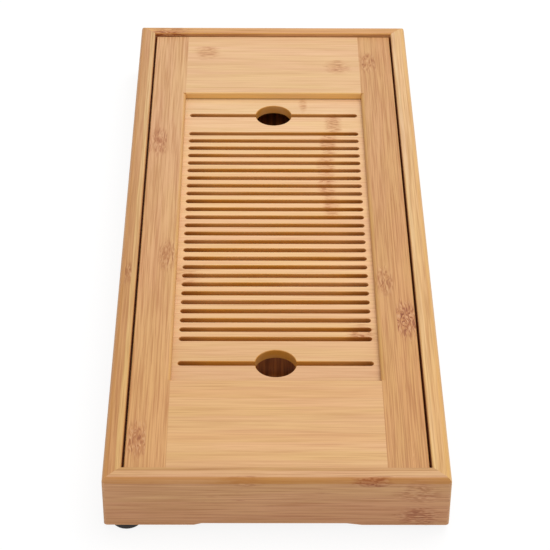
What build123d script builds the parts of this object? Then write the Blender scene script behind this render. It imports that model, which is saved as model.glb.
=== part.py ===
from build123d import *
import os

# Gongfu tea tray in bamboo: a mitred box on rubber feet, a loose slotted lid, and a water tray under it.
# Sizes are millimetres. X runs across the tray, Y along it to the far end, Z up.
# The origin is on the table, under the middle of the tray.

# Box of four mitred walls
tray_width = 150
tray_length = 376
tray_height = 30
foot_height = 3
wall_thickness = 8
rim_round = 2.8
inner_rim_ease = 0.4
corner_round = 1.6
base_bevel = 0.2

# Bottom panel, let into a groove in the walls
panel_thickness = 3
panel_rise = 2
panel_groove_depth = 4
panel_play = 0.5

# Relief under the short walls, where the fingers lift the tray
relief_length = 75
relief_shift = 1
relief_height = 1.2
relief_short_ramp = 4
relief_long_ramp = 8

# Cleats inside the walls, which carry the lid
cleat_thickness = 5
cleat_height = 8

# Rubber feet
foot_radius = 7
foot_tip_bevel = 0.8
foot_inset = 9.7
front_left_foot_inset = 7.3

# Loose lid
lid_side_gap = 1.1
lid_end_gap = 0.75
lid_drop = 2
lid_thickness = 8.6
lid_edge_ease = 0.4
stile_width = 18
stile_inner_ease = 2
end_board_ease = 0.8

# Well with the slotted board, and the tongues that hold the lid together
well_length = 240.8
well_depth = 4
tongue_length = 4
tongue_thickness = 2.3
glue_room = 0.2

# Drain slots and finger holes
slot_count = 26
slot_pitch = 6.9
slot_width = 2.9
slot_length = 90.1
slot_ease = 0.25
hole_slot_step = 17.75
finger_hole_radius = 9.6

# Water tray of moulded plastic
water_tray_width = 121
water_tray_length = 346
water_tray_headroom = 1.4
water_tray_wall = 1.5
water_tray_flange = 3
water_tray_corner = 9
water_tray_draft = 8
water_tray_floor_round = 2.8

# Levels and spans that follow from the sizes above
inner_width = tray_width - 2 * wall_thickness
inner_length = tray_length - 2 * wall_thickness
panel_bottom = foot_height + panel_rise
panel_top = panel_bottom + panel_thickness
lid_width = inner_width - 2 * lid_side_gap
lid_length = inner_length - 2 * lid_end_gap
lid_top = tray_height - lid_drop
lid_bottom = lid_top - lid_thickness
centre_width = lid_width - 2 * stile_width
end_board_length = (lid_length - well_length) / 2
deck_thickness = lid_thickness - well_depth
tongue_bottom = lid_bottom + (deck_thickness - tongue_thickness) / 2
groove_depth = tongue_length + glue_room
hole_slot_offset = (slot_count - 1) / 2 * slot_pitch + hole_slot_step
water_tray_top = lid_bottom - water_tray_headroom

os.makedirs("parts", exist_ok=True)


def inward_plane(middle, inward):
    """Plane square to a board's run: local X points inward from its face, local Y points up."""
    return Plane(origin=middle, x_dir=inward, z_dir=Vector(inward).cross(Vector(0, 0, 1)))


def save(piece, name):
    piece.label = name
    export_step(piece, f"parts/{name}.step")


# Box frame as it is milled once glued: outer rim rounded over, corners sanded round, a groove for the panel
with BuildPart() as frame:
    with BuildSketch(Plane.XY.offset(foot_height)):
        Rectangle(tray_width, tray_length)
    extrude(amount=tray_height - foot_height)
    fillet(frame.faces().sort_by(Axis.Z)[-1].edges(), rim_round)
    with BuildSketch(Plane.XY.offset(foot_height)):
        RectangleRounded(tray_width, tray_length, corner_round)
    extrude(amount=tray_height - foot_height, mode=Mode.INTERSECT)
    chamfer(frame.faces().sort_by(Axis.Z)[0].edges(), base_bevel)
    with BuildSketch(Plane.XY.offset(foot_height)):
        Rectangle(inner_width, inner_length)
    extrude(amount=tray_height - foot_height, mode=Mode.SUBTRACT)
    chamfer(frame.faces().sort_by(Axis.Z)[-1].inner_wires().edges(), inner_rim_ease)
    with BuildSketch(Plane.XY.offset(panel_bottom)):
        Rectangle(inner_width + 2 * panel_groove_depth, inner_length + 2 * panel_groove_depth)
    extrude(amount=panel_thickness, mode=Mode.SUBTRACT)

    # Relief under both short walls, a little off centre: short ramp on the left, long ramp on the right
    relief_left = relief_shift - relief_length / 2
    relief_right = relief_shift + relief_length / 2
    with BuildSketch(Plane.XZ):
        with BuildLine():
            Polyline(
                (relief_left, foot_height),
                (relief_left + relief_short_ramp, foot_height + relief_height),
                (relief_right - relief_long_ramp, foot_height + relief_height),
                (relief_right, foot_height),
                close=True,
            )
        make_face()
    extrude(amount=tray_length / 2, both=True, mode=Mode.SUBTRACT)

# Box walls: the frame's four boards, which meet in mitres at the corners
walls = {
    "front_wall": ((0, -tray_length / 2, 0), (0, 1, 0), tray_width),
    "rear_wall": ((0, tray_length / 2, 0), (0, -1, 0), tray_width),
    "left_wall": ((-tray_width / 2, 0, 0), (1, 0, 0), tray_length),
    "right_wall": ((tray_width / 2, 0, 0), (-1, 0, 0), tray_length),
}
for name, (face_middle, inward, run) in walls.items():
    with BuildPart() as wall:
        add(frame.part)
        with BuildSketch(Plane(origin=face_middle, x_dir=inward, z_dir=(0, 0, 1))):
            with BuildLine():
                Polyline(
                    (0, -run / 2),
                    (wall_thickness, wall_thickness - run / 2),
                    (wall_thickness, run / 2 - wall_thickness),
                    (0, run / 2),
                    close=True,
                )
            make_face()
        extrude(amount=tray_height, mode=Mode.INTERSECT)
    save(wall.part, name)

# Bottom panel: thin bamboo board, loose in the wall grooves with a little play
with BuildPart() as bottom_panel:
    with BuildSketch(Plane.XY.offset(panel_bottom)):
        reach = 2 * (panel_groove_depth - panel_play)
        Rectangle(inner_width + reach, inner_length + reach)
    extrude(amount=panel_thickness)
save(bottom_panel.part, "bottom_panel")

# Lid cleats: square strips glued to the walls, the end strips between the side strips
for side, name in ((-1, "left_cleat"), (1, "right_cleat")):
    with BuildPart() as cleat:
        with BuildSketch(Plane.XY.offset(lid_bottom)):
            with Locations((side * (inner_width - cleat_thickness) / 2, 0)):
                Rectangle(cleat_thickness, inner_length)
        extrude(amount=-cleat_height)
    save(cleat.part, name)

for end, name in ((-1, "front_cleat"), (1, "rear_cleat")):
    with BuildPart() as cleat:
        with BuildSketch(Plane.XY.offset(lid_bottom)):
            with Locations((0, end * (inner_length - cleat_thickness) / 2)):
                Rectangle(inner_width - 2 * cleat_thickness, cleat_thickness)
        extrude(amount=-cleat_height)
    save(cleat.part, name)

# Rubber feet: round pads stuck on by hand, so one front pad sits nearer the edge
feet = {
    "front_left_foot": (-1, -1, front_left_foot_inset),
    "front_right_foot": (1, -1, foot_inset),
    "rear_left_foot": (-1, 1, foot_inset),
    "rear_right_foot": (1, 1, foot_inset),
}
for name, (side, end, end_inset) in feet.items():
    with BuildPart() as foot:
        with BuildSketch(Plane.XY.offset(foot_height)):
            with Locations((side * (tray_width / 2 - foot_inset), end * (tray_length / 2 - end_inset))):
                Circle(foot_radius)
        extrude(amount=-foot_height)
        chamfer(foot.edges().sort_by(Axis.Z)[0], foot_tip_bevel)
    save(foot.part, name)

# Lid stiles: full length, grooved on the inner edge, and eased where they border the well
for side, name in ((-1, "left_stile"), (1, "right_stile")):
    with BuildPart() as stile:
        section = inward_plane((side * centre_width / 2, 0, 0), (side, 0, 0))
        with BuildSketch(section):
            with Locations((0, lid_bottom)):
                Rectangle(stile_width, lid_thickness, align=Align.MIN)
            with Locations((0, tongue_bottom)):
                Rectangle(groove_depth, tongue_thickness, align=Align.MIN, mode=Mode.SUBTRACT)
        extrude(amount=lid_length / 2, both=True)
        top_edges = stile.edges().filter_by(Axis.Y).group_by(Axis.Z)[-1].sort_by(Axis.X)
        fillet(top_edges[0 if side < 0 else -1], lid_edge_ease)
        with BuildSketch(section):
            with BuildLine():
                CenterArc((stile_inner_ease, lid_top - stile_inner_ease), stile_inner_ease, 90, 90)
                Polyline((0, lid_top - stile_inner_ease), (0, lid_top), (stile_inner_ease, lid_top))
            make_face()
        extrude(amount=well_length / 2, both=True, mode=Mode.SUBTRACT)
    save(stile.part, name)

# Lid end boards: tongues into both stiles, and a groove that takes the slotted board
for end, name in ((-1, "front_end_board"), (1, "rear_end_board")):
    board_middle = end * (well_length + end_board_length) / 2
    with BuildPart() as end_board:
        with BuildSketch(Plane.XY.offset(lid_bottom)):
            with Locations((0, board_middle)):
                Rectangle(centre_width, end_board_length)
        extrude(amount=lid_thickness)
        top_edges = end_board.edges().filter_by(Axis.X).group_by(Axis.Z)[-1].sort_by(Axis.Y)
        fillet(top_edges[0 if end > 0 else -1], end_board_ease)
        with BuildSketch(Plane.XY.offset(tongue_bottom)):
            with Locations((0, board_middle)):
                Rectangle(centre_width + 2 * tongue_length, end_board_length)
        extrude(amount=tongue_thickness)
        with BuildSketch(Plane.XY.offset(tongue_bottom)):
            with Locations((0, end * (well_length + groove_depth) / 2)):
                Rectangle(centre_width + 2 * tongue_length, groove_depth)
        extrude(amount=tongue_thickness, mode=Mode.SUBTRACT)
    save(end_board.part, name)

# Slotted board: the sunken deck, with a tongue all round, drain slots and two finger holes
with BuildPart() as slotted_board:
    with BuildSketch(Plane.XY.offset(lid_bottom)):
        Rectangle(centre_width, well_length)
    extrude(amount=deck_thickness)
    with BuildSketch(Plane.XY.offset(tongue_bottom)):
        Rectangle(centre_width + 2 * tongue_length, well_length + 2 * tongue_length)
    extrude(amount=tongue_thickness)
    with BuildSketch(Plane.XY.offset(lid_bottom)):
        with GridLocations(0, slot_pitch, 1, slot_count):
            SlotOverall(slot_length, slot_width)
        with GridLocations(0, 2 * hole_slot_offset, 1, 2):
            SlotOverall(slot_length, slot_width)
            Circle(finger_hole_radius)
    extrude(amount=deck_thickness, mode=Mode.SUBTRACT)
    chamfer(slotted_board.faces().sort_by(Axis.Z)[-1].inner_wires().edges(), slot_ease)
save(slotted_board.part, "slotted_board")

# Water tray: a shallow moulded dish with drafted sides and a flange, standing on the bottom panel
dish_width = water_tray_width - 2 * water_tray_flange
dish_length = water_tray_length - 2 * water_tray_flange
dish_depth = water_tray_top - panel_top
with BuildPart() as water_tray:
    with BuildSketch(Plane.XY.offset(water_tray_top)):
        RectangleRounded(dish_width, dish_length, water_tray_corner)
    extrude(amount=-dish_depth, taper=water_tray_draft)
    fillet(water_tray.faces().sort_by(Axis.Z)[0].edges(), water_tray_floor_round)
    with BuildSketch(Plane.XY.offset(water_tray_top)):
        RectangleRounded(water_tray_width, water_tray_length, water_tray_corner + water_tray_flange)
    extrude(amount=-water_tray_wall)
    with BuildSketch(Plane.XY.offset(water_tray_top)):
        RectangleRounded(
            dish_width - 2 * water_tray_wall,
            dish_length - 2 * water_tray_wall,
            water_tray_corner - water_tray_wall,
        )
    extrude(amount=-(dish_depth - water_tray_wall), taper=water_tray_draft, mode=Mode.SUBTRACT)
    inner_floor = water_tray.faces().filter_by(Plane.XY).group_by(Axis.Z)[1]
    fillet(inner_floor.edges(), water_tray_floor_round - water_tray_wall)
save(water_tray.part, "water_tray")
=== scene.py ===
import math

import bpy
from mathutils import Matrix, Vector


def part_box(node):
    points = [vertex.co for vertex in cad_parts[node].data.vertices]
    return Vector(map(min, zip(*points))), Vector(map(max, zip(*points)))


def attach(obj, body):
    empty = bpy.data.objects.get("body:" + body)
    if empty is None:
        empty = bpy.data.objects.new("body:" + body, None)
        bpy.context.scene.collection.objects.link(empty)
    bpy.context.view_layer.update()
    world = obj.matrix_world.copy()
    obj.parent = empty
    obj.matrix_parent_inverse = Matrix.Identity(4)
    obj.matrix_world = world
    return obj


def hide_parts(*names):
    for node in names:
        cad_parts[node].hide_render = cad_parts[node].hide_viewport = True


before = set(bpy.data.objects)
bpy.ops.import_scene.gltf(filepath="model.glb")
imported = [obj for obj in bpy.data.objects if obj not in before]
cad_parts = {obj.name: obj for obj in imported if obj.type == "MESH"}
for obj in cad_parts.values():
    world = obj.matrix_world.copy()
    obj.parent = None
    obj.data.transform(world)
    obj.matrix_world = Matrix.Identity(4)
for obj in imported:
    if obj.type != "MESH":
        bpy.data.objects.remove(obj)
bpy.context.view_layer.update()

# Camera: a long lens looks down along the tray from its near end, a little from the left. The photo
# gives the focal length as a number of its own pixels, so the lens follows from the sensor's width.
photo_width_px = 550
focal_length_px = 2036.2
camera_place = Vector((-0.00812, -0.82183, 0.6294))
look_down, turn, roll = (math.radians(angle) for angle in (37.656, 0.593, 0.476))
lens = bpy.data.cameras.new("photo_camera")
lens.sensor_width = 36
lens.lens = lens.sensor_width * focal_length_px / photo_width_px
camera = bpy.data.objects.new("photo_camera", lens)
bpy.context.scene.collection.objects.link(camera)
camera.matrix_world = (
    Matrix.Translation(camera_place)
    @ Matrix.Rotation(-turn, 4, "Z")
    @ Matrix.Rotation(-look_down, 4, "X")
    @ Matrix.Rotation(-roll, 4, "Y")
    @ Matrix.Rotation(math.pi / 2, 4, "X")
)
bpy.context.scene.camera = camera
bpy.context.scene.view_settings.view_transform = "Standard"


# Table: one large sheet of matt white paper just under the feet. To the camera and in reflections it is
# mostly glow, so that it stays white and takes only a faint shadow. The tray is lit by it as by paper.
def linear(colour):
    """Linear RGBA of an sRGB hex colour."""
    shares = [int(colour[i : i + 2], 16) / 255 for i in (1, 3, 5)]
    return [s / 12.92 if s <= 0.04045 else ((s + 0.055) / 1.055) ** 2.4 for s in shares] + [1]


def add(owner, kind, inputs=(), **settings):
    """Adds a node to a material or world, applies its settings, and fills its inputs.

    An input takes a value, a node's output, or a node for its first output. In a Map Range, inputs 1 and
    2 are the range that is read and 3 and 4 what they become. In a Mix, 6 and 7 are the two colours.
    """
    node = owner.node_tree.nodes.new("ShaderNode" + kind)
    for setting, value in settings.items():
        setattr(node, setting, value)
    for place, value in dict(inputs).items():
        if isinstance(value, bpy.types.Node):
            value = value.outputs[0]
        if isinstance(value, bpy.types.NodeSocket):
            owner.node_tree.links.new(value, node.inputs[place])
        else:
            node.inputs[place].default_value = value
    return node


def empty_material(name):
    """A new material with nothing in its node tree."""
    material = bpy.data.materials.new(name)
    material.use_nodes = True
    material.node_tree.nodes.clear()
    return material


paper = empty_material("white_paper_sweep")
paper_rays = add(paper, "LightPath")
either_ray = {0: paper_rays.outputs["Is Camera Ray"], 1: paper_rays.outputs["Is Glossy Ray"]}
seen = add(paper, "Math", either_ray, operation="MAXIMUM")
lighting_sheet = add(paper, "BsdfDiffuse", {"Color": linear("#DADADA")})
shadow_catcher = add(paper, "BsdfDiffuse", {"Color": linear("#6C6C6C")})
glow = add(paper, "Emission", {"Color": linear("#FFFFFF"), "Strength": 0.87})
seen_sheet = add(paper, "AddShader", {0: shadow_catcher, 1: glow})
sheet = add(paper, "MixShader", {0: seen, 1: lighting_sheet, 2: seen_sheet})
add(paper, "OutputMaterial", {"Surface": sheet})

paper_size = 8
gap_under_feet = 0.0001
bpy.ops.object.select_all(action="DESELECT")
bpy.ops.mesh.primitive_plane_add(size=paper_size, location=(0, 0, -gap_under_feet))
table = bpy.context.object
table.name = "table"
table.data.materials.append(paper)

# Light: a room that lights softly from all round and looks white, one wide soft lamp above the right
# side, so that the left is a little darker, and a weaker softbox in front, which reaches the far walls
# of the slots and finger holes.
room_level = 0.62
world = bpy.data.worlds.new("white_room")
world.use_nodes = True
background = world.node_tree.nodes["Background"]
background.inputs["Color"].default_value = linear("#FFFFFF")
room_rays = add(world, "LightPath")
strength = add(world, "MapRange", {0: room_rays.outputs["Is Camera Ray"], 3: room_level, 4: 1})
world.node_tree.links.new(strength.outputs[0], background.inputs["Strength"])
bpy.context.scene.world = world

for lamp_name, size, watts, lamp_place in (
    ("overhead_lamp", 1.2, 14, (0.45, 0.45, 1.45)),
    ("front_softbox", 1, 1.6, (-0.1, -1.35, 0.45)),
):
    lamp = bpy.data.lights.new(lamp_name, "AREA")
    lamp.size = size
    lamp.energy = watts
    holder = bpy.data.objects.new(lamp_name, lamp)
    bpy.context.scene.collection.objects.link(holder)
    holder.location = lamp_place
    holder.rotation_euler = (-holder.location).to_track_quat("-Z", "Y").to_euler()


# Box walls: boards laminated from bamboo strips, mitred, glued, and rounded over at the rim. The wood
# is steamed to a honey colour, sanded fine and sprayed with clear satin lacquer, so that it shows its
# fibres and knuckles under a soft shine.
def bamboo(
    name, grain, strip, layer, tones, seed, knuckles=(), streaks=1,
    gold="#C9923F", gold_from=-0.2, gold_share=0.6, painted_inner_shade=None, painted_slot_end_shade=None,
):
    """Laminated bamboo, in mm.

    grain is the axis of its fibres. strip is the first strip's edge, the strips' width and their number
    in a layer, and layer the lowest layer's edge and height. tones are the strips' colours in order, and
    seed picks their fibres. knuckles lists (centre, half sizes, strength) along, across and up, and
    streaks is the strength of the dark streaks.

    Wood that is milled across the strips turns gold by gold_share, where its normal points up or down by
    more than gold_from: below 0, upright sides are golden too.
    painted_inner_shade is (colour, from, to), painted shade: on sides that face the middle, this colour
    fades out between two heights.
    painted_slot_end_shade is (colour, from, to), painted shade: milled wood turns to this colour between
    two distances from the middle.
    """
    material = empty_material(name)
    place = add(material, "TexCoord")
    mm = add(material, "Mapping", {"Vector": place.outputs["Object"], "Scale": (1000, 1000, 1000)})
    axes = add(material, "SeparateXYZ", {0: mm})
    along, across = (axes.outputs[axis] for axis in (("X", "Y") if grain == "X" else ("Y", "X")))
    height = axes.outputs["Z"]
    straight = add(material, "CombineXYZ", {0: along, 1: across, 2: height})

    # Strips: each has its own colour and its own stretch of culm, and their joints run nearly straight
    first_edge, width, per_layer = strip
    lowest, layer_height = layer
    drift_per_mm = (0.02, 0.05, 0.05)
    drift_width = 1.4
    drift_place = add(material, "VectorMath", {0: straight, 1: drift_per_mm}, operation="MULTIPLY")
    drift = add(material, "TexNoise", {"Vector": drift_place, "Scale": 1, "Detail": 1})
    sideways = {0: drift.outputs["Fac"], 1: drift_width, 2: across}
    strayed = add(material, "Math", sideways, operation="MULTIPLY_ADD")
    first_column = -(first_edge + drift_width / 2) / width
    column = add(material, "Math", {0: strayed, 1: 1 / width, 2: first_column}, operation="MULTIPLY_ADD")
    first_row = -lowest / layer_height
    row = add(material, "Math", {0: height, 1: 1 / layer_height, 2: first_row}, operation="MULTIPLY_ADD")
    column_number = add(material, "Math", {0: column}, operation="FLOOR")
    row_number = add(material, "Math", {0: row}, operation="FLOOR")
    strips_before = {0: row_number, 1: per_layer, 2: column_number}
    number = add(material, "Math", strips_before, operation="MULTIPLY_ADD")
    one_tone = 1 / len(tones)
    turns = add(material, "Math", {0: number, 1: one_tone, 2: one_tone / 2}, operation="MULTIPLY_ADD")
    tone_place = add(material, "Math", {0: turns}, operation="FRACT")
    strips = add(material, "ValToRGB", {0: tone_place})
    strips.color_ramp.interpolation = "CONSTANT"
    strips.color_ramp.elements.remove(strips.color_ramp.elements[1])
    strips.color_ramp.elements[0].color = linear(tones[0])
    for i, tone in enumerate(tones[1:], 1):
        strips.color_ramp.elements.new(i / len(tones)).color = linear(tone)
    cell = add(material, "CombineXYZ", {0: column_number, 1: row_number, 2: seed})
    chance = add(material, "TexWhiteNoise", {"Vector": cell}, noise_dimensions="3D")
    far_apart = (300, 300, 300)
    shift = add(material, "VectorMath", {0: chance.outputs["Color"], 1: far_apart}, operation="MULTIPLY")

    # Knuckles: where the culm had a joint, the fibres swerve and break up into short light and dark
    # flecks. A knuckle has a ragged edge, and stays in the strip that holds its centre
    fray_per_mm = (0.09, 1.1, 1.1)
    fray_place = add(material, "VectorMath", {0: straight, 1: fray_per_mm}, operation="MULTIPLY")
    fray = add(material, "TexNoise", {"Vector": fray_place, "Scale": 1, "Detail": 1})
    knot = 0
    for centre, half_size, depth in knuckles:
        own_row = math.floor((centre[2] - lowest) / layer_height)
        own_column = math.floor((centre[1] - first_edge) / width)
        own_number = own_row * per_layer + own_column
        spread = {"Vector": straight, "Location": centre, "Scale": half_size}
        local = add(material, "Mapping", spread, vector_type="TEXTURE")
        blob = add(material, "TexGradient", {"Vector": local}, gradient_type="SPHERICAL")
        frayed = {0: fray.outputs["Fac"], 1: 0.8, 2: blob}
        ragged = add(material, "Math", frayed, operation="MULTIPLY_ADD")
        soft = add(material, "MapRange", {0: ragged, 1: 0.52, 2: 1, 3: 0, 4: depth})
        own = add(material, "Math", {0: number, 1: own_number, 2: 0.5}, operation="COMPARE")
        kept = add(material, "Math", {0: soft, 1: own}, operation="MULTIPLY")
        knot = add(material, "Math", {0: knot, 1: kept}, operation="MAXIMUM")
    swerve_per_mm = (0.12, 0.5, 0.5)
    swerve_width = 7
    swerve_place = add(material, "VectorMath", {0: straight, 1: swerve_per_mm}, operation="MULTIPLY")
    swerve = add(material, "TexNoise", {"Vector": swerve_place, "Scale": 1, "Detail": 1})
    swing = add(material, "Math", {0: swerve.outputs["Fac"], 1: 0.5}, operation="SUBTRACT")
    reach = add(material, "Math", {0: swing, 1: knot}, operation="MULTIPLY")
    bent_across = add(material, "Math", {0: reach, 1: swerve_width, 2: across}, operation="MULTIPLY_ADD")
    bent = add(material, "CombineXYZ", {0: along, 1: bent_across, 2: height})
    fibre_place = add(material, "VectorMath", {0: bent, 1: shift}, operation="ADD")

    # Fibres: hairlines half a millimetre wide, as the culm's vessels are, lens-shaped streaks 1.5 mm
    # wide, and broad pinkish and golden bands
    hairs_per_mm = (0.035, 2, 2)
    lenses_per_mm = (0.016, 0.9, 0.9)
    bands_per_mm = (0.02, 0.15, 0.15)
    textures = []
    for per_mm, detail in ((hairs_per_mm, 2), (lenses_per_mm, 1), (bands_per_mm, 2)):
        texture_place = add(material, "VectorMath", {0: fibre_place, 1: per_mm}, operation="MULTIPLY")
        stretched = {"Vector": texture_place, "Scale": 1, "Detail": detail}
        textures.append(add(material, "TexNoise", stretched))
    fine, streak, band = (texture.outputs["Fac"] for texture in textures)
    hairs = add(material, "MapRange", {0: fine, 1: 0.44, 2: 0.64, 3: 0, 4: 0.65 * streaks})
    lenses = add(material, "MapRange", {0: streak, 1: 0.44, 2: 0.66, 3: 0, 4: 0.4 * streaks})
    darker = add(material, "Math", {0: hairs, 1: lenses}, operation="ADD", use_clamp=True)
    streak_tint = {"Factor": darker, 6: strips, 7: linear("#DFCDBB")}
    streaked = add(material, "Mix", streak_tint, data_type="RGBA", blend_type="MULTIPLY")
    bands = add(material, "MapRange", {0: band, 1: 0.4, 2: 0.6, 3: 0, 4: 1})
    pink_to_gold = {"Factor": bands, 6: linear("#FFFCFA"), 7: linear("#FEFFF5")}
    hues = add(material, "Mix", pink_to_gold, data_type="RGBA")
    whole_tint = {"Factor": 1, 6: streaked.outputs[2], 7: hues.outputs[2]}
    tinted = add(material, "Mix", whole_tint, data_type="RGBA", blend_type="MULTIPLY")

    # Painted shade: the pieces that run along the tray are painted a deeper gold towards its near end
    if grain == "Y":
        near_shade_start, near_shade_full = 90, -130
        nearness = add(material, "MapRange", {0: along, 1: near_shade_start, 2: near_shade_full, 3: 0, 4: 1})
        near_end_shade = {"Factor": nearness, 6: tinted.outputs[2], 7: linear("#FCF3D6")}
        tinted = add(material, "Mix", near_end_shade, data_type="RGBA", blend_type="MULTIPLY")

    # Flecks of a knuckle: slanting light and dark dashes 0.7 mm wide and 5 mm long
    flecks_per_mm = (0.21, 1.5, 1.5)
    fleck_place = add(material, "VectorMath", {0: bent, 1: flecks_per_mm}, operation="MULTIPLY")
    slanting = {"Vector": fleck_place, "Scale": 1, "Detail": 1, "Distortion": 0.2}
    fleck = add(material, "TexNoise", slanting)
    outline = add(material, "MapRange", {0: fleck.outputs["Fac"], 1: 0.4, 2: 0.52, 3: 1, 4: 0})
    dark_knot = add(material, "Math", {0: knot, 1: outline}, operation="MULTIPLY", use_clamp=True)
    dark_flecks = {"Factor": dark_knot, 6: tinted.outputs[2], 7: linear("#C69C78")}
    browned = add(material, "Mix", dark_flecks, data_type="RGBA", blend_type="MULTIPLY")
    middle = add(material, "MapRange", {0: fleck.outputs["Fac"], 1: 0.54, 2: 0.62, 3: 0, 4: 0.5})
    light_knot = add(material, "Math", {0: knot, 1: middle}, operation="MULTIPLY", use_clamp=True)
    light_flecks = {"Factor": light_knot, 6: browned.outputs[2], 7: linear("#F0CA9E")}
    flecked = add(material, "Mix", light_flecks, data_type="RGBA")

    # Where a cutter has run across the strips, the lacquer sinks in and looks golden. Towards a slot's
    # ends the milled wood is painted darker and redder, a painted shade
    facing = add(material, "SeparateXYZ", {0: place.outputs["Normal"]})
    tilt = add(material, "Math", {0: facing.outputs["Z"]}, operation="ABSOLUTE")
    not_flat = add(material, "MapRange", {0: tilt, 1: 0.88, 2: 0.99, 3: gold_share, 4: 0})
    off_side = add(material, "MapRange", {0: tilt, 1: gold_from, 2: gold_from + 0.12, 3: 0, 4: 1})
    uneven = add(material, "MapRange", {0: band, 1: 0.35, 2: 0.65, 3: 0.6, 4: 1})
    sloping = add(material, "Math", {0: not_flat, 1: off_side}, operation="MULTIPLY")
    milled = add(material, "Math", {0: sloping, 1: uneven}, operation="MULTIPLY")
    sunk_lacquer = {"Factor": milled, 6: flecked.outputs[2], 7: linear(gold)}
    golden = add(material, "Mix", sunk_lacquer, data_type="RGBA")
    if painted_slot_end_shade:
        slot_end_colour, slot_end_from, slot_end_to = painted_slot_end_shade
        distance = add(material, "Math", {0: along}, operation="ABSOLUTE")
        at_end = add(material, "MapRange", {0: distance, 1: slot_end_from, 2: slot_end_to, 3: 0, 4: 0.75})
        slot_end_darkening = add(material, "Math", {0: milled, 1: at_end}, operation="MULTIPLY")
        slot_end_mix = {"Factor": slot_end_darkening, 6: golden.outputs[2], 7: linear(slot_end_colour)}
        golden = add(material, "Mix", slot_end_mix, data_type="RGBA")

    # A knuckle stands on a redder ground, which shows through the gold
    half_knot = add(material, "Math", {0: knot, 1: 0.5}, operation="MULTIPLY", use_clamp=True)
    ground = {"Factor": half_knot, 6: golden.outputs[2], 7: linear("#D9AC86")}
    finished = add(material, "Mix", ground, data_type="RGBA", blend_type="MULTIPLY")
    rough = add(material, "MapRange", {0: fine, 1: 0.3, 2: 0.7, 3: 0.38, 4: 0.5})

    # Painted shade: inside the box, and in the joints round the sunken deck, the sides that face the
    # middle of the tray are painted darker, and they are left matt. A surface there faces the middle of
    # the tray from more than 30 mm away
    if painted_inner_shade:
        inner_shade_colour, fades_from, fades_to = painted_inner_shade
        farthest_outward = -0.03
        from_middle = {0: place.outputs["Object"], 1: place.outputs["Normal"]}
        outward = add(material, "VectorMath", from_middle, operation="DOT_PRODUCT")
        facing_middle = {0: outward.outputs["Value"], 1: farthest_outward}
        inward = add(material, "Math", facing_middle, operation="LESS_THAN")
        below = add(material, "MapRange", {0: height, 1: fades_from, 2: fades_to, 3: 1, 4: 0})
        shaded_and_unlacquered = add(material, "Math", {0: inward, 1: below}, operation="MULTIPLY")
        inner_shade_mix = {"Factor": shaded_and_unlacquered, 6: finished.outputs[2], 7: linear(inner_shade_colour)}
        finished = add(material, "Mix", inner_shade_mix, data_type="RGBA")
        rough = add(material, "MapRange", {0: shaded_and_unlacquered, 3: rough, 4: 0.95})

    ridges = add(material, "Bump", {"Strength": 0.35, "Distance": 0.00005, "Height": fine})
    satin = {"Base Color": finished.outputs[2], "Roughness": rough, "IOR": 1.5, "Normal": ridges}
    surface = add(material, "BsdfPrincipled", satin)
    add(material, "OutputMaterial", {"Surface": surface})
    return material


def dress(node, material):
    """Gives a CAD node's surface this material."""
    for material_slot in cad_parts[node].material_slots:
        material_slot.material = material


ply = 3.2
wall_layers = (2.9, 13.7)
only_rounded = 0.12
# Painted shade: the walls' sides that face the middle are painted red-brown, fading out between 26.5 and
# 28 mm high, for the shade in the box and in the gaps round the lid
wall_inner_shade = ("#B9622B", 26.5, 28)
dress("front_wall", bamboo(
    "lacquered_bamboo_front_wall", "X", strip=(-188.8, ply, 3), layer=wall_layers, seed=3,
    tones=("#D0996C", "#DBA878", "#D3A06A", "#D4A071", "#D9A877", "#C8955C"),
    knuckles=(
        ((61, -187.2, 22), (13, 6, 9), 0.5),
        ((62, -187.2, 8), (13, 6, 9), 0.7),
        ((41, -187.2, 28.5), (11, 6, 3.5), 1.5),
        ((-14, -187.2, 28.5), (14, 6, 3.5), 0.45),
    ),
    gold="#C07F2C", gold_from=only_rounded, gold_share=0.85, painted_inner_shade=wall_inner_shade,
))
dress("rear_wall", bamboo(
    "lacquered_bamboo_rear_wall", "X", strip=(179.2, ply, 3), layer=wall_layers, seed=5,
    tones=("#D29A68", "#D8A46F", "#D39F6C", "#D79E68", "#DDA96F", "#D8A46C"),
    knuckles=(
        ((-60, 181, 29), (16, 5, 6), 1),
        ((-58, 184, 29), (14, 5, 6), 0.6),
        ((-30, 187.2, 10), (11, 6, 8), 0.9),
    ),
    gold="#D99F3E", gold_from=only_rounded, gold_share=0.8, painted_inner_shade=wall_inner_shade,
))
dress("left_wall", bamboo(
    "lacquered_bamboo_left_wall", "Y", strip=(-75.8, ply, 3), layer=wall_layers, seed=7,
    tones=("#CE9C6E", "#D19D73", "#DBB186", "#CC9964", "#CE9C6B", "#DDB682"),
    knuckles=(((-44, -71, 29), (12, 4, 5), 0.5), ((60, -74.5, 10), (11, 6, 9), 0.9)),
    gold="#D39350", gold_from=only_rounded, painted_inner_shade=wall_inner_shade,
))
dress("right_wall", bamboo(
    "lacquered_bamboo_right_wall", "Y", strip=(66.2, ply, 3), layer=wall_layers, seed=9,
    tones=("#E3B88C", "#E2B582", "#E1B282", "#E6C092", "#E4BA86", "#E1B47C"),
    knuckles=(((-90, 74.5, 10), (11, 6, 9), 0.9),),
    gold="#E0AD60", gold_from=only_rounded, painted_inner_shade=wall_inner_shade,
))

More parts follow.
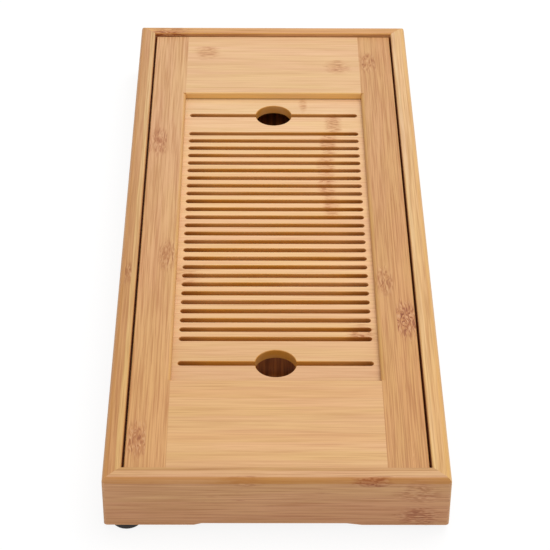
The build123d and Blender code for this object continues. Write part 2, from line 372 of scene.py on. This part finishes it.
# Bottom panel and cleats: the same bamboo, sanded but left unlacquered inside the box, without any
# golden edges. The panel sits in a groove of the walls, and the cleats are glued to them.
panel_tones = ("#D6A878", "#DDB382", "#D3A273", "#DBAE7B")
panel_layer = (0, 30)
nowhere = 1
dress("bottom_panel", bamboo(
    "sanded_bamboo_bottom_panel", "Y", strip=(-75, 19, 8), layer=panel_layer, seed=11,
    tones=panel_tones,
    knuckles=(((-80, -30, 5), (9, 8, 6), 0.7), ((45, 20, 5), (9, 8, 6), 0.6)),
    gold_from=nowhere,
))
cleat_width = 7
for cleat, grain, edge in (
    ("left_cleat", "Y", -68),
    ("right_cleat", "Y", 61),
    ("front_cleat", "X", -181),
    ("rear_cleat", "X", 174),
):
    dress(cleat, bamboo(
        "sanded_bamboo_" + cleat, grain, strip=(edge, cleat_width, 1), layer=panel_layer, seed=edge,
        tones=panel_tones, gold_from=nowhere,
    ))

# Rubber feet: moulded discs, stuck under the corners. The rim that meets the table is rounded, and a
# shallow dish inside it makes the foot grip. The rubber is black and matt, dulled by the mould's grit,
# which is drawn at a quarter of a millimetre, coarser than it is, so that it shows.
grit_per_m = 4000
rubber = empty_material("moulded_black_rubber")
rubber_place = add(rubber, "TexCoord")
speckled = {"Vector": rubber_place.outputs["Object"], "Scale": grit_per_m, "Detail": 2}
grit = add(rubber, "TexNoise", speckled)
black_to_dusty = {"Factor": grit.outputs["Fac"], 6: linear("#1C1715"), 7: linear("#2B2523")}
dust = add(rubber, "Mix", black_to_dusty, data_type="RGBA")
rubber_bump = add(rubber, "Bump", {"Strength": 0.3, "Distance": 0.00005, "Height": grit.outputs["Fac"]})
matt = {"Base Color": dust.outputs[2], "Roughness": 0.75, "Normal": rubber_bump}
rubber_surface = add(rubber, "BsdfPrincipled", matt)
add(rubber, "OutputMaterial", {"Surface": rubber_surface})

foot_low, foot_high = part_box("front_left_foot")
bpy.ops.object.select_all(action="DESELECT")
bpy.ops.mesh.primitive_cylinder_add(
    vertices=64,
    radius=(foot_high.x - foot_low.x) / 2,
    depth=foot_high.z - foot_low.z,
    location=(0, 0, 0),
)
moulded_foot = bpy.context.object
rim_round = 0.0008
bpy.ops.object.mode_set(mode="EDIT")
bpy.ops.mesh.select_mode(type="FACE")
bpy.ops.mesh.select_all(action="DESELECT")
bpy.ops.object.mode_set(mode="OBJECT")
for face in moulded_foot.data.polygons:
    face.select = face.normal.z < -0.9
bpy.ops.object.mode_set(mode="EDIT")
bpy.ops.mesh.bevel(offset=rim_round, segments=4, affect="EDGES")
bpy.ops.mesh.select_all(action="DESELECT")
bpy.ops.object.mode_set(mode="OBJECT")
for face in moulded_foot.data.polygons:
    face.select = face.normal.z < -0.999
bpy.ops.object.mode_set(mode="EDIT")
for ring_width, ring_depth in ((0.0012, 0), (0.0008, -0.0006), (0.0015, -0.0002)):
    bpy.ops.mesh.inset(thickness=ring_width, depth=ring_depth)
bpy.ops.object.mode_set(mode="OBJECT")
bpy.ops.object.shade_smooth_by_angle(angle=math.radians(35))
moulded_foot.data.materials.append(rubber)

for corner in ("front_left", "front_right", "rear_left", "rear_right"):
    foot = bpy.data.objects.new(corner + "_rubber_foot", moulded_foot.data.copy())
    foot.data.name = foot.name
    foot_low, foot_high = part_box(corner + "_foot")
    foot.data.transform(Matrix.Translation((foot_low + foot_high) / 2))
    bpy.context.scene.collection.objects.link(foot)
    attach(foot, "box")
    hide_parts(corner + "_foot")
bpy.data.objects.remove(moulded_foot)

# Lid: two stiles, with end boards and the slotted board let in between them by tongues and grooves,
# glued, and sanded flush. It is bamboo lacquered as the walls are, paler in the middle, with painted
# shade darkening the slotted board towards the near end. The cutter has left its slots golden, and
# painted shade darkens them towards their ends.
whole_height = (0, 60)
# Painted shade: the lid's sides that face the middle are painted dark brown, fading out between 24 and
# 24.7 mm high at the deck's top, in the joints round the sunken deck
lid_joint_shade = ("#8F6028", 24, 24.7)
dress("left_stile", bamboo(
    "lacquered_bamboo_left_stile", "Y", strip=(-66, 9.1, 2), layer=whole_height, seed=21,
    tones=("#DBAB7E", "#DCAD7E"),
    knuckles=(
        ((72, -60, 28), (17, 8, 20), 0.6),
        ((-160, -61, 28), (16, 8, 20), 0.65),
        ((-26, -52.5, 28), (17, 8, 20), 0.5),
    ),
    streaks=1.2, gold="#DFAE66", painted_inner_shade=lid_joint_shade,
))
dress("right_stile", bamboo(
    "lacquered_bamboo_right_stile", "Y", strip=(47.8, 9.1, 2), layer=whole_height, seed=23,
    tones=("#D4A26F", "#D5A26E"),
    knuckles=(
        ((152, 52.5, 28), (14, 7, 20), 0.6),
        ((-77, 61.5, 28), (18, 8, 20), 1),
        ((-47, 52.5, 28), (14, 7, 20), 0.6),
    ),
    streaks=1.2, gold="#DFAE66", painted_inner_shade=lid_joint_shade,
))
dress("front_end_board", bamboo(
    "lacquered_bamboo_front_end_board", "X", strip=(-180, 5.9, 10), layer=whole_height, seed=25,
    tones=("#DFAF79", "#DDAD74", "#E1B07B", "#DEAC74", "#DFAE78"),
    streaks=0.7, gold="#DDAC62", painted_inner_shade=lid_joint_shade,
))
dress("rear_end_board", bamboo(
    "lacquered_bamboo_rear_end_board", "X", strip=(110.3, 14.7, 5), layer=whole_height, seed=27,
    tones=("#E4BA8B", "#E4BB8B", "#E3B88B", "#E5BA8E", "#E4B98B"),
    knuckles=(((-37, 163, 28), (9, 10, 20), 0.55), ((36, 147, 28), (9, 10, 20), 0.55)),
    streaks=0.6, gold="#F2C06A", gold_share=0.85, painted_inner_shade=lid_joint_shade,
))
dress("slotted_board", bamboo(
    "lacquered_bamboo_slotted_board", "X", strip=(-124.8, 19.2, 13), layer=whole_height, seed=29,
    # painted shade: the strips are painted darker towards the near end
    tones=(
        "#DEAE7E", "#E1B27F", "#E9BA88", "#EBBC8B", "#EEC08E", "#EFC08D", "#EDBD8F",
        "#F0C290", "#EEC08E", "#EFC291", "#EDC192", "#ECC294", "#EAC398",
    ),
    knuckles=(
        ((32, 96, 24), (6, 17, 20), 0.65),
        ((29, 77, 24), (6, 17, 20), 0.65),
        ((27, 57.6, 24), (6, 17, 20), 0.65),
        ((27, 38.4, 24), (6, 17, 20), 0.65),
        ((29, 19.2, 24), (6, 17, 20), 0.65),
        ((16, 115, 24), (3, 11, 20), 0.5),
        ((40, -84, 24), (9, 11, 20), 0.9),
        ((-45, -38, 24), (12, 11, 20), 0.45),
    ),
    # painted shade: the milled walls darken towards the slots' ends
    streaks=0.6, gold="#DA9638", gold_share=1, painted_slot_end_shade=("#A2561E", 31, 46),
))

# Water tray: thin reddish brown plastic, moulded in one piece. The melt has drawn darker lines along
# it, a millimetre wide, which show through the near finger hole, and the mould's grain makes it half
# matt. The grain is drawn coarser than it is, so that it shows.
lines_per_m = (900, 40, 900)
grain_per_m = 2500
plastic = empty_material("moulded_red_brown_plastic")
plastic_place = add(plastic, "TexCoord")
flow = add(plastic, "Mapping", {"Vector": plastic_place.outputs["Object"], "Scale": lines_per_m})
lines = add(plastic, "TexNoise", {"Vector": flow, "Scale": 1, "Detail": 2})
line_share = add(plastic, "MapRange", {0: lines.outputs["Fac"], 1: 0.32, 2: 0.68})
dark_to_light = {"Factor": line_share, 6: linear("#6E3814"), 7: linear("#AA632D")}
brown = add(plastic, "Mix", dark_to_light, data_type="RGBA")
spark_eroded = {"Vector": plastic_place.outputs["Object"], "Scale": grain_per_m, "Detail": 2}
matt_grain = add(plastic, "TexNoise", spark_eroded)
grain_bump = {"Strength": 0.2, "Distance": 0.00004, "Height": matt_grain.outputs["Fac"]}
plastic_bump = add(plastic, "Bump", grain_bump)
half_matt = {"Base Color": brown.outputs[2], "Roughness": 0.45, "Normal": plastic_bump}
plastic_surface = add(plastic, "BsdfPrincipled", half_matt)
add(plastic, "OutputMaterial", {"Surface": plastic_surface})
dress("water_tray", plastic)
